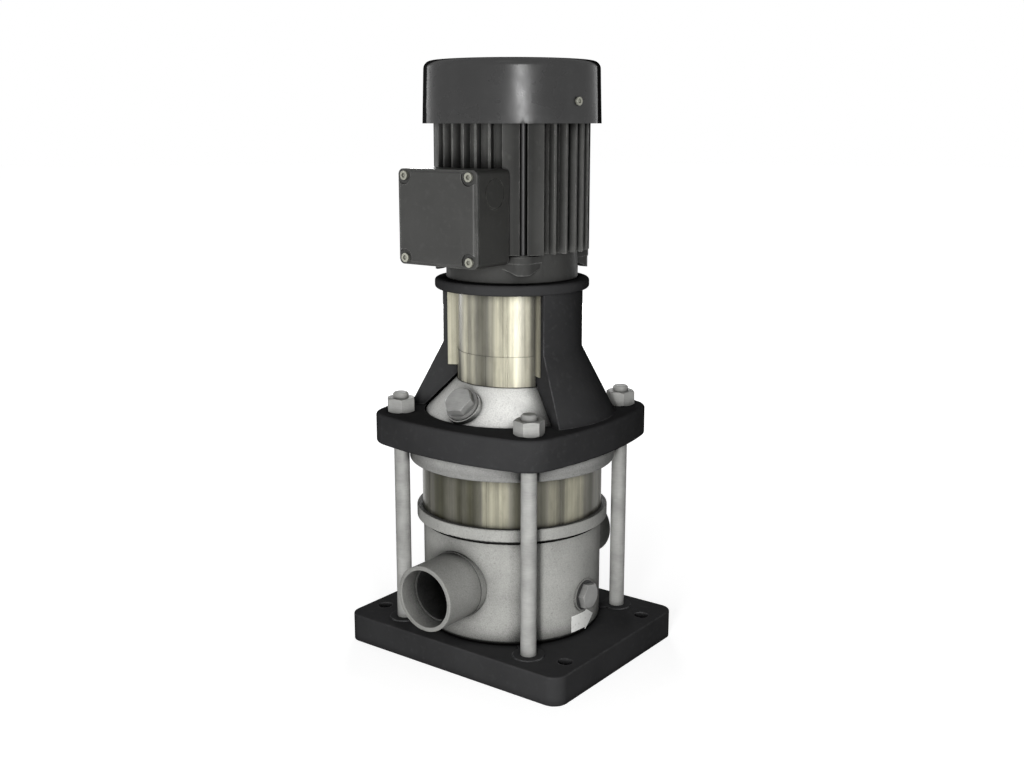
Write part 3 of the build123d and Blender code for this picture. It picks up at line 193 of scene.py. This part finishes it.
class Finish:
    """A surface finish built from nodes on one Principled shader."""

    def __init__(self, name, color, rough, metal=0.0, specular=0.5):
        self.material = bpy.data.materials.new(name)
        self.material.use_nodes = True
        self.tree = self.material.node_tree
        self.shader = self.tree.nodes["Principled BSDF"]
        self.color = color
        self.rough = rough
        self.shader.inputs["Metallic"].default_value = metal
        self.shader.inputs["Specular IOR Level"].default_value = specular
        self.shader.inputs["Base Color"].default_value = (*color, 1.0)
        self.shader.inputs["Roughness"].default_value = rough
        self.height = None
        self.place = self.add("ShaderNodeTexCoord").outputs["Object"]

    def add(self, kind, **values):
        node = self.tree.nodes.new(kind)
        for key, value in values.items():
            setattr(node, key, value)
        return node

    def link(self, source, target):
        self.tree.links.new(source, target)

    def noise(self, scale, detail=4.0, stretch=(1.0, 1.0, 1.0), rough=0.55, offset=0.0):
        """Noise over the object, stretched along an axis if asked; scale is in 1/m."""
        mapping = self.add("ShaderNodeMapping")
        mapping.inputs["Scale"].default_value = stretch
        mapping.inputs["Location"].default_value = (offset, offset * 0.7, offset * 0.3)
        self.link(self.place, mapping.inputs["Vector"])
        noise = self.add("ShaderNodeTexNoise")
        noise.inputs["Scale"].default_value = scale
        noise.inputs["Detail"].default_value = detail
        noise.inputs["Roughness"].default_value = rough
        self.link(mapping.outputs[0], noise.inputs["Vector"])
        return noise.outputs["Fac"]

    def ramp(self, source, stops):
        """Colour ramp with (position, grey or colour) stops."""
        ramp = self.add("ShaderNodeValToRGB")
        elements = ramp.color_ramp.elements
        while len(elements) < len(stops):
            elements.new(0.5)
        for element, (position, value) in zip(elements, stops):
            element.position = position
            color = value if isinstance(value, tuple) else (value, value, value)
            element.color = (*color, 1.0)
        self.link(source, ramp.inputs["Fac"])
        return ramp.outputs["Color"]

    def mix(self, factor, a, b, blend="MIX"):
        """Mix two colours; each may be a socket, a grey or a colour."""
        mix = self.add("ShaderNodeMix", data_type="RGBA", blend_type=blend)
        for place, value in ((mix_factor, factor), (mix_first, a), (mix_second, b)):
            socket = mix.inputs[place]
            if hasattr(value, "links"):
                self.link(value, socket)
            elif isinstance(value, tuple):
                socket.default_value = (*value, 1.0)
            elif place == mix_factor:
                socket.default_value = value
            else:
                socket.default_value = (value, value, value, 1.0)
        return mix.outputs[mix_result]

    def painted_crevice_shade(self, base, reach=0.012, low=0.35, dark=0.3, high=0.95):
        """Painted shade: darkens a colour where other surfaces stand close, where shade falls."""
        near = self.add("ShaderNodeAmbientOcclusion", samples=8)
        near.inputs["Distance"].default_value = reach
        corner_shade = self.ramp(near.outputs["AO"], ((low, dark), (high, 1.0)))
        return self.mix(1.0, base, corner_shade, "MULTIPLY")

    def worn_and_highlit_edges(self, base, worn, width=0.0006, amount=0.6):
        """Lightens the colour along convex edges, broken up by noise: partly worn paint and partly a
        painted highlight along the edges.
        """
        rounded = self.add("ShaderNodeBevel", samples=4)
        rounded.inputs["Radius"].default_value = width
        flat = self.add("ShaderNodeNewGeometry").outputs["Normal"]
        turn = self.add("ShaderNodeVectorMath", operation="DOT_PRODUCT")
        self.link(rounded.outputs[0], turn.inputs[0])
        self.link(flat, turn.inputs[1])
        edge = self.ramp(turn.outputs["Value"], ((0.80, 1.0), (0.985, 0.0)))
        broken = self.ramp(self.noise(90.0, 5.0, offset=11.0), ((0.42, 0.15), (0.62, 1.0)))
        wear_and_highlight_mask = self.mix(1.0, edge, broken, "MULTIPLY")
        return self.mix(self.mix(1.0, wear_and_highlight_mask, amount, "MULTIPLY"), base, worn)

    def paint(self, socket):
        self.link(socket, self.shader.inputs["Base Color"])

    def axis(self, name):
        """One coordinate of the object, in metres."""
        parts = self.add("ShaderNodeSeparateXYZ")
        self.link(self.place, parts.inputs[0])
        return parts.outputs[name]

    def ranged(self, source, start, end, low, high):
        """Runs from low at start to high at end."""
        step = self.add("ShaderNodeMapRange")
        for key, value in (("From Min", start), ("From Max", end), ("To Min", low), ("To Max", high)):
            step.inputs[key].default_value = value
        self.link(source, step.inputs["Value"])
        return step.outputs[0]

    def roughness(self, source, low, high):
        """Roughness that varies between two values with a noise."""
        self.link(self.ranged(source, 0.3, 0.7, low, high), self.shader.inputs["Roughness"])

    def dull_rim(self, specular, end):
        """Gloss that fades where the surface turns away, as grain shadows itself there."""
        facing = self.add("ShaderNodeLayerWeight").outputs["Facing"]
        level = self.ranged(facing, 0.25, end, specular, 0.0)
        self.link(level, self.shader.inputs["Specular IOR Level"])

    def bump(self, source, distance, strength=1.0):
        """Adds relief; the distance is in metres. A later call lies over the earlier one."""
        bump = self.add("ShaderNodeBump")
        bump.inputs["Strength"].default_value = strength
        bump.inputs["Distance"].default_value = distance
        self.link(source, bump.inputs["Height"])
        if self.height is not None:
            self.link(self.height, bump.inputs["Normal"])
        self.height = bump.outputs["Normal"]
        self.link(self.height, self.shader.inputs["Normal"])


def shade(color, amount):
    """The colour made lighter or darker."""
    return tuple(max(0.0, c * amount) for c in color)


def painted_casting(name, color, rough, specular, grain=900.0, relief=0.00006, wear_and_highlight=0.6, rim=0.0008,
                    corner_shade=0.25, tone=None, turned=None):
    """Satin paint over a cast or rolled surface, a little uneven in colour and gloss.

    The edge arguments are the strength and width of lighter edges, partly wear and partly painted
    highlight;
    the shade argument is the darkness of painted shade in corners and close gaps, and
    turned is where the gloss of a surface that turns away has gone.
    """
    f = Finish(name, color, rough, 0.0, specular)
    cloud = f.noise(14.0, 5.0)
    dust = f.noise(160.0, 6.0, offset=3.0)
    base = f.ramp(cloud, ((0.30, shade(color, 0.84)), (0.70, shade(color, 1.16))))
    speck = f.ramp(dust, ((0.55, 0.0), (0.78, 1.0)))
    dusty = f.mix(speck, base, shade(color, 1.22))
    if tone is not None:
        dusty = tone(f, dusty)
    # Lighter edges: partly worn paint, partly a painted highlight.
    worn = f.worn_and_highlit_edges(dusty, shade(color, 4.0), rim, wear_and_highlight)
    # Painted shade in corners and close gaps, at two reaches.
    f.paint(f.painted_crevice_shade(f.painted_crevice_shade(worn, 0.012, 0.25, corner_shade, 0.80), 0.03, 0.20, corner_shade, 0.50))
    f.roughness(f.noise(40.0, 4.0, offset=7.0), rough - 0.06, rough + 0.1)
    if turned is not None:
        f.dull_rim(specular, turned)
    f.bump(f.noise(grain, 3.0), relief, 0.5)
    return f.material


def blasted_steel(name, color, rough=0.55, metal=0.0, specular=0.015, tone=None):
    """Bead-blasted stainless casting: fine grain, small pits and darker clouds, with lighter edges that are
    partly wear and partly painted highlight, and painted shade in corners and deep in bores.
    """
    f = Finish(name, color, rough, metal, specular)
    cloud = f.noise(22.0, 6.0, rough=0.6)
    grain = f.noise(1100.0, 2.0, offset=2.0)
    pits = f.noise(420.0, 4.0, offset=5.0)
    base = f.ramp(cloud, ((0.28, shade(color, 0.80)), (0.72, shade(color, 1.12))))
    fine = f.ramp(grain, ((0.36, 0.62), (0.62, 1.0)))
    mottled = f.mix(0.55, base, fine, "MULTIPLY")
    pit = f.ramp(pits, ((0.60, 1.0), (0.72, 0.55)))
    pitted = f.mix(0.6, mottled, pit, "MULTIPLY")
    if tone is not None:
        pitted = tone(f, pitted)
    # Lighter edges: partly worn metal, partly a painted highlight.
    worn = f.worn_and_highlit_edges(pitted, shade(color, 1.35), 0.0008, 0.5)
    # Painted shade: close corners darken a little, and deep bores and recesses much more.
    f.paint(f.painted_crevice_shade(f.painted_crevice_shade(worn, 0.020, 0.48, 0.15, 0.93), 0.055, 0.25, 0.06, 0.62))
    f.roughness(grain, rough - 0.05, rough + 0.16)
    f.bump(grain, 0.00012, 0.45)
    f.bump(pits, 0.0002, 0.25)
    return f.material


def painted_bar_shade(f, color):
    """Painted shade: faces that turn diagonally, as the four corner bars do, are darker than the fin tips
    and flanks, which face along the axes.
    """
    parts = f.add("ShaderNodeSeparateXYZ")
    f.link(f.add("ShaderNodeNewGeometry").outputs["Normal"], parts.inputs[0])
    sides = []
    for name in ("X", "Y"):
        side = f.add("ShaderNodeMath", operation="ABSOLUTE")
        f.link(parts.outputs[name], side.inputs[0])
        sides.append(side.outputs[0])
    square = f.add("ShaderNodeMath", operation="MAXIMUM")
    f.link(sides[0], square.inputs[0])
    f.link(sides[1], square.inputs[1])
    return f.mix(1.0, color, f.ranged(square.outputs[0], 0.78, 0.96, 0.36, 1.0), "MULTIPLY")


def painted_shade_under_plate(f, color):
    """Painted shade: the head is darker under its clamping plate, which shades it, than on the dome above
    it.
    """
    step = f.ranged(f.axis("Z"), 0.19, 0.21, 0.36, 1.0)
    return f.mix(1.0, color, step, "MULTIPLY")


def dark_stubs_and_bore_shade(f, color):
    """The stubs turn darker between 82 and 88 mm out from the pump's axis, and past their sockets the bores
    get painted shade, a flat dark grey.
    """
    centred = f.add("ShaderNodeVectorMath", operation="MULTIPLY_ADD")
    centred.inputs[1].default_value = (1.0, 0.0, 1.0)
    centred.inputs[2].default_value = (0.0, 0.0, -port_height * mm)
    f.link(f.place, centred.inputs[0])
    away = f.add("ShaderNodeVectorMath", operation="LENGTH")
    f.link(centred.outputs[0], away.inputs[0])
    reach = f.add("ShaderNodeMath", operation="ABSOLUTE")
    f.link(f.axis("Y"), reach.inputs[0])
    pipe = f.add("ShaderNodeMath", operation="MULTIPLY")
    f.link(f.ranged(away.outputs["Value"], 0.0314, 0.0322, 1.0, 0.0), pipe.inputs[0])
    f.link(f.ranged(reach.outputs[0], 0.082, 0.088, 0.0, 1.0), pipe.inputs[1])
    color = f.mix(pipe.outputs[0], color, f.mix(1.0, color, 0.70, "MULTIPLY"))
    narrow = f.ranged(away.outputs["Value"], 0.0257, 0.0261, 1.0, 0.0)
    deep = f.ranged(reach.outputs[0], 0.1108, 0.1120, 1.0, 0.0)
    inside = f.add("ShaderNodeMath", operation="MULTIPLY")
    f.link(narrow, inside.inputs[0])
    f.link(deep, inside.inputs[1])
    # Painted shade: flat dark grey deep in each bore.
    return f.mix(inside.outputs[0], color, (0.13, 0.13, 0.128))


def drawn_steel(name, color, rough=0.3, metal=0.35, shift=0.0):
    """Bright drawn sheet with long streaks along the axis; its broad olive and cream bands are a painted
    reflection, and its corners get painted shade.
    """
    f = Finish(name, color, rough, metal, 0.2)
    broad = f.noise(34.0, 2.0, (1.0, 1.0, 0.01), 0.5, shift)
    narrow = f.noise(150.0, 3.0, (1.0, 1.0, 0.012), 0.6, 4.0)
    hair = f.noise(900.0, 3.0, (1.0, 1.0, 0.01), 0.6, 8.0)
    # Painted reflection: broad bands from olive to cream along the axis, placed by the shift.
    olive = (color[0] * 0.34, color[1] * 0.34, color[2] * 0.24)
    cream = (min(1.0, color[0] * 2.4), min(1.0, color[1] * 2.37), min(1.0, color[2] * 2.2))
    painted_reflection_bands = f.ramp(broad, ((0.40, olive), (0.54, color), (0.65, cream)))
    fine = f.ramp(narrow, ((0.35, 0.55), (0.60, 1.0)))
    smear = f.ramp(f.noise(120.0, 5.0, (1.0, 1.0, 0.25), 0.65, 15.0), ((0.38, 0.72), (0.56, 1.0)))
    drawn = f.mix(0.7, f.mix(0.85, painted_reflection_bands, fine, "MULTIPLY"), smear, "MULTIPLY")
    # Painted shade in corners and close gaps.
    f.paint(f.painted_crevice_shade(drawn, 0.012, 0.30, 0.12))
    f.roughness(narrow, rough - 0.05, rough + 0.12)
    f.bump(hair, 0.00003, 0.35)
    return f.material


def machined_steel(name, color, rough=0.35, metal=0.3, specular=0.2):
    """Turned or plated steel with fine marks and slight staining, lighter edges that are partly wear and
    partly painted highlight, and painted shade in corners.
    """
    f = Finish(name, color, rough, metal, specular)
    cloud = f.noise(60.0, 5.0)
    marks = f.noise(500.0, 3.0, (0.15, 0.15, 3.0), 0.6, 2.0)
    base = f.ramp(cloud, ((0.3, shade(color, 0.80)), (0.7, shade(color, 1.12))))
    fine = f.ramp(marks, ((0.35, 0.8), (0.65, 1.0)))
    worn = f.worn_and_highlit_edges(f.mix(0.6, base, fine, "MULTIPLY"), shade(color, 1.5), 0.0005, 0.5)
    f.paint(f.painted_crevice_shade(worn, 0.008, 0.3, 0.2))
    f.roughness(marks, rough - 0.05, rough + 0.12)
    f.bump(marks, 0.00002, 0.4)
    return f.material


def soft_black(name, color, rough=0.7):
    """Rubber or moulded plastic with a faint grain."""
    f = Finish(name, color, rough, 0.0, 0.4)
    grain = f.noise(700.0, 3.0)
    f.paint(f.ramp(grain, ((0.3, shade(color, 0.8)), (0.7, shade(color, 1.25)))))
    f.roughness(grain, rough - 0.08, rough + 0.08)
    f.bump(grain, 0.00005, 0.4)
    return f.material


def copper_wire(name, color):
    """Varnished windings, as fine ridges along the axis."""
    f = Finish(name, color, 0.35, 0.6, 0.5)
    wires = f.noise(900.0, 2.0, (1.0, 1.0, 0.1))
    f.paint(f.ramp(wires, ((0.35, shade(color, 0.55)), (0.65, shade(color, 1.2)))))
    f.bump(wires, 0.0002, 0.6)
    return f.material


finishes = {
    "black_casting": painted_casting("black_casting", (0.040, 0.040, 0.041), 0.65, 0.0, wear_and_highlight=0.9, rim=0.002),
    "stainless_casting": blasted_steel("stainless_casting", (0.54, 0.54, 0.51)),
    # The shift moves this sheet's painted reflection bands into place.
    "polished_sheet": drawn_steel("polished_sheet", (0.265, 0.257, 0.215), shift=2.5975),
    "plated_steel": machined_steel("plated_steel", (0.40, 0.40, 0.385), 0.50, 0.10, 0.03),
    "plug_steel": machined_steel("plug_steel", (0.34, 0.34, 0.33)),
    "seal_rubber": soft_black("seal_rubber", (0.02, 0.02, 0.02)),
    "stage_steel": drawn_steel("stage_steel", (0.50, 0.50, 0.48)),
    "bearing_plastic": soft_black("bearing_plastic", (0.05, 0.05, 0.05)),
    "hard_carbide": soft_black("hard_carbide", (0.10, 0.10, 0.11), 0.25),
    "shaft_steel": machined_steel("shaft_steel", (0.50, 0.50, 0.49)),
    "coupling_iron": painted_casting("coupling_iron", (0.08, 0.08, 0.08), 0.45, 0.2),
    "small_screws": machined_steel("small_screws", (0.40, 0.40, 0.34), 0.35),
    "motor_paint": painted_casting("motor_paint", (0.045, 0.045, 0.043), 0.45, 0.05, wear_and_highlight=1.0,
                                   rim=0.0012, corner_shade=0.4),
    "cover_paint": painted_casting("cover_paint", (0.023, 0.023, 0.023), 0.28, 0.42, 600.0, 0.00002,
                                   turned=0.72),
    # The box is painted darker than its lid: painted shade on its sides.
    "box_paint": painted_casting("box_paint", (0.034, 0.034, 0.032), 0.40, 0.06, wear_and_highlight=0.95, rim=0.0012),
    "tie_bolt_steel": machined_steel("tie_bolt_steel", (0.06, 0.06, 0.06), 0.4),
    "lamination_steel": machined_steel("lamination_steel", (0.22, 0.22, 0.23), 0.45),
    "winding_copper": copper_wire("winding_copper", (0.60, 0.26, 0.12)),
    "fan_plastic": soft_black("fan_plastic", (0.03, 0.03, 0.03), 0.5),
    "block_plastic": soft_black("block_plastic", (0.25, 0.20, 0.12), 0.5),
}


# The carried-over pieces get their finish, smooth curves and a small edge break, in mm
edge_breaks = {
    "base_plate": 0.8, "motor_stool": 0.5, "staybolt_nuts": 0.25, "staybolts": 0.15, "drain_plug": 0.35,
    "vent_plug": 0.35, "terminal_box": 0.6, "terminal_lid": 0.5, "terminal_lid_screws": 0.5,
    "fan_cover_screws": 0.5, "guard_front": 0.25, "guard_rear": 0.25, "drive_end_shield": 0.5,
    "motor_frame": 0.4, "coupling_halves": 0.5, "pump_head": 0.5, "base_casing": 0.5,
}
smooth_angle = math.radians(32.0)

# Pieces whose finish differs from the rest of their slot; some are lighter or darker copies that paint
# light and shade on them
node_finishes = {
    # The shield is a lighter copy of the motor paint: painted light on its front facet.
    "drive_end_shield": painted_casting("shield_paint", (0.056, 0.056, 0.054), 0.50, 0.02, wear_and_highlight=1.0,
                                        rim=0.0016, corner_shade=0.3),
    # The frame is a lighter copy of the motor paint, painted light on the fins, with painted shade on its
    # corner bars.
    "motor_frame": painted_casting("frame_paint", (0.100, 0.100, 0.096), 0.50, 0.03, wear_and_highlight=1.0,
                                   rim=0.0010, corner_shade=0.22, tone=painted_bar_shade),
    "outer_sleeve": drawn_steel("sleeve_sheet", (0.165, 0.160, 0.132)),
    # The head is a much lighter copy of the stainless casting: a painted highlight on its dome, with
    # painted shade under the plate.
    "pump_head": blasted_steel("head_casting", (0.90, 0.90, 0.87), tone=painted_shade_under_plate),
    "base_casing": blasted_steel("port_casting", (0.455, 0.455, 0.432), tone=dark_stubs_and_bore_shade),
    # The lid is painted lighter than the box it closes: painted light on the lid.
    "terminal_lid": painted_casting("lid_paint", (0.056, 0.056, 0.054), 0.36, 0.16, wear_and_highlight=0.9, rim=0.0012),
}


def dress(name, slot, piece=None):
    """Gives a carried-over piece its finish, smooth shading and a rounded edge."""
    piece = piece or nodes[name]
    piece.data.materials.clear()
    piece.data.materials.append(node_finishes.get(name, finishes[slot]))
    weld = piece.modifiers.new("weld", "WELD")
    weld.merge_threshold = weld_distance
    if name in edge_breaks:
        bevel = piece.modifiers.new("edge", "BEVEL")
        bevel.width = edge_breaks[name] * mm
        bevel.segments = 2
        bevel.limit_method = "ANGLE"
        bevel.angle_limit = smooth_angle
        bevel.harden_normals = False
    piece.data.shade_smooth()
    smooth = piece.modifiers.new("smooth", "WEIGHTED_NORMAL")
    smooth.keep_sharp = True


def dress_all():
    """Dresses every piece but the casing, which add_casing replaces."""
    for row in frame["record"]["subparts"]:
        if row["node"] != "base_casing":
            dress(row["node"], row["material_slot"])


# The casing is redone from the CAD piece, with the deep thin-walled sockets of its two ports.
# The cutter's rows are a radius and a distance along the port from the pump's axis, in mm.
port_profile = ((0.0, 131.0), (27.0, 131.0), (26.8, 130.0), (26.2, 129.4), (26.2, 111.5),
                (25.0, 110.8), (25.0, 82.0), (0.0, 82.0))
port_segments = 96


def port_cutter(side):
    """Closed turned mesh that opens one port, along the port's axis."""
    bm = bmesh.new()
    rings = []
    for radius, reach in port_profile:
        if radius == 0.0:
            rings.append([bm.verts.new((0.0, side * reach * mm, port_height * mm))])
            continue
        turns = [2 * math.pi * i / port_segments for i in range(port_segments)]
        rings.append([bm.verts.new((radius * mm * math.cos(t), side * reach * mm,
                                    (port_height + radius * math.sin(t)) * mm)) for t in turns])
    for a, b in zip(rings, rings[1:]):
        for i in range(port_segments):
            j = (i + 1) % port_segments
            corners = [a[i % len(a)], a[j % len(a)], b[j % len(b)], b[i % len(b)]]
            bm.faces.new(list(dict.fromkeys(corners)))
    bmesh.ops.recalc_face_normals(bm, faces=bm.faces)
    mesh = bpy.data.meshes.new("port_cutter")
    bm.to_mesh(mesh)
    bm.free()
    cutter = bpy.data.objects.new("port_cutter", mesh)
    bpy.context.scene.collection.objects.link(cutter)
    return cutter


def add_casing():
    """Cuts both sockets into a copy of the casing and puts it in the casing's place."""
    mesh = nodes["base_casing"].data.copy()
    mesh.name = "casing_body"
    bm = bmesh.new()
    bm.from_mesh(mesh)
    bmesh.ops.remove_doubles(bm, verts=bm.verts, dist=weld_distance)
    bm.to_mesh(mesh)
    bm.free()
    casing = bpy.data.objects.new("casing_body", mesh)
    bpy.context.scene.collection.objects.link(casing)
    cutters = [port_cutter(-1), port_cutter(1)]
    for cutter in cutters:
        cut = casing.modifiers.new("port", "BOOLEAN")
        cut.operation = "DIFFERENCE"
        cut.solver = "EXACT"
        cut.object = cutter
    graph = bpy.context.evaluated_depsgraph_get()
    shaped = bpy.data.meshes.new_from_object(casing.evaluated_get(graph))
    casing.modifiers.clear()
    casing.data = shaped
    for cutter in cutters:
        bpy.data.objects.remove(cutter)
    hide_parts("base_casing")
    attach(casing, housing)
    dress("base_casing", "stainless_casting", casing)


# Flow arrow painted on the casing's side, under the drain plug, in mm
arrow_radius = 84.4
arrow_start = math.radians(-12.5)
arrow_middle = 38.8
arrow_shaft = 20.0
arrow_head = 15.0
arrow_shaft_half = 7.9
arrow_head_half = 10.2
arrow_film = 0.22
arrow_depth = 0.3
arrow_step = 0.5
arrow_tip = 0.02
arrow_rows = (-1.0, -0.6, 0.0, 0.6, 1.0)


def arrow_half(along):
    """Half the arrow's height at a distance from its tail."""
    if along < arrow_shaft:
        return arrow_shaft_half
    return arrow_head_half * max(arrow_tip, 1.0 - (along - arrow_shaft) / arrow_head)


def white_film():
    """White paint, a little worn away in patches."""
    f = Finish("arrow_white", (0.94, 0.94, 0.91), 0.5, 0.0, 0.3)
    patchy = f.noise(260.0, 5.0)
    f.paint(f.ramp(patchy, ((0.30, (0.70, 0.70, 0.66)), (0.42, (0.94, 0.94, 0.91)))))
    f.roughness(patchy, 0.42, 0.6)
    f.bump(f.noise(900.0, 3.0), 0.00005, 0.5)
    return f.material


def add_flow_arrow():
    """Closed paint film bent round the casing, sunk a little into it."""
    steps = [i * arrow_step for i in range(int(arrow_shaft / arrow_step))] + [arrow_shaft - 0.01]
    steps += [arrow_shaft + i * arrow_step for i in range(int(arrow_head / arrow_step) + 1)]
    bm = bmesh.new()
    columns = []
    for along in steps:
        angle = arrow_start + along / arrow_radius
        half = arrow_half(along)
        column = []
        for radius in (arrow_radius + arrow_film, arrow_radius - arrow_depth):
            x, y = radius * mm * math.cos(angle), radius * mm * math.sin(angle)
            for side in arrow_rows:
                column.append(bm.verts.new((x, y, (arrow_middle + side * half) * mm)))
        columns.append(column)
    back = len(arrow_rows)
    last = back - 1
    for a, b in zip(columns, columns[1:]):
        for i in range(last):
            bm.faces.new((a[i], b[i], b[i + 1], a[i + 1]))
            bm.faces.new((a[i + back], a[i + back + 1], b[i + back + 1], b[i + back]))
        bm.faces.new((a[0], a[back], b[back], b[0]))
        bm.faces.new((a[last], b[last], b[last + back], a[last + back]))
    for ends in (columns[0], columns[-1]):
        for i in range(last):
            bm.faces.new((ends[i], ends[i + 1], ends[i + back + 1], ends[i + back]))
    bmesh.ops.recalc_face_normals(bm, faces=bm.faces)
    mesh = bpy.data.meshes.new("flow_arrow")
    bm.to_mesh(mesh)
    bm.free()
    arrow = bpy.data.objects.new("flow_arrow", mesh)
    bpy.context.scene.collection.objects.link(arrow)
    mesh.materials.append(white_film())
    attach(arrow, housing)


add_camera()
add_lamps()
add_world()
add_floor()
dress_all()
add_casing()
add_flow_arrow()

bpy.context.scene.view_settings.view_transform = "Standard"
